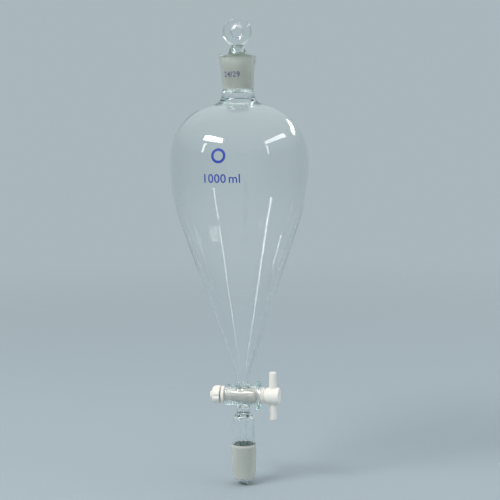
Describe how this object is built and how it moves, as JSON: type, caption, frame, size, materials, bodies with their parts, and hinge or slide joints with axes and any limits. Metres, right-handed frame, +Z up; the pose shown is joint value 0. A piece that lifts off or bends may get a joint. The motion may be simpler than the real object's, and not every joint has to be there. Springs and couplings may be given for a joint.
{
  "type": "dropping funnel",
  "caption": "Pear-shaped glass dropping funnel with a stoppered ground socket, a PTFE stopcock and a ground cone with an inner drip tube.",
  "frame": {"origin": "on the funnel's axis, at the large end of the lower ground cone", "axes": "+Z up along the funnel's axis, +X along the stopcock towards its handle; the handle is upright, which is open"},
  "size_m": [0.129, 0.129, 0.4377],
  "materials": {
    "clear_glass": "clear polished borosilicate glass",
    "ground_glass": "glass with a fine ground joint",
    "stopper_glass": "clear pressed glass with a ground plug",
    "ptfe": "satin white PTFE",
    "rubber": "matt black rubber",
    "blue_print": "fired blue enamel print"
  },
  "bodies": {
    "vessel": {"ground_cone": "ground_glass", "jacket_tube": "clear_glass", "ring_seal": "clear_glass", "drip_tube": "clear_glass", "lower_stem": "clear_glass", "stopcock_barrel": "clear_glass", "upper_stem": "clear_glass", "pear_bulb": "clear_glass", "socket_joint": "ground_glass"},
    "stopper": {"glass_stopper": "stopper_glass"},
    "plug": {"stopcock_plug": "ptfe", "handle_bar": "ptfe"},
    "tail_seal": {"tail_washer": "ptfe", "o_ring": "rubber"},
    "nut": {"tension_nut": "ptfe"}
  },
  "joints": [
    {"name": "stopper_lift", "type": "slide", "parent": "vessel", "child": "stopper", "axis": [0, 0, 1], "range_m": [0, 0.06]},
    {"name": "stopcock_turn", "type": "hinge", "parent": "vessel", "child": "plug", "pos_m": [0, 0, 0.0496], "axis": [1, 0, 0], "continuous": true},
    {"name": "seal_slide", "type": "slide", "parent": "plug", "child": "tail_seal", "axis": [-1, 0, 0], "range_m": [0, 0.0075]},
    {"name": "nut_turn", "type": "hinge", "parent": "tail_seal", "child": "nut", "pos_m": [-0.0254, 0, 0.0496], "axis": [-1, 0, 0], "range_deg": [0, 2161]}
  ],
  "couplings": [
    {"joint": "nut_turn", "follows": "seal_slide", "rad_per_m": 5026.5}
  ]
}
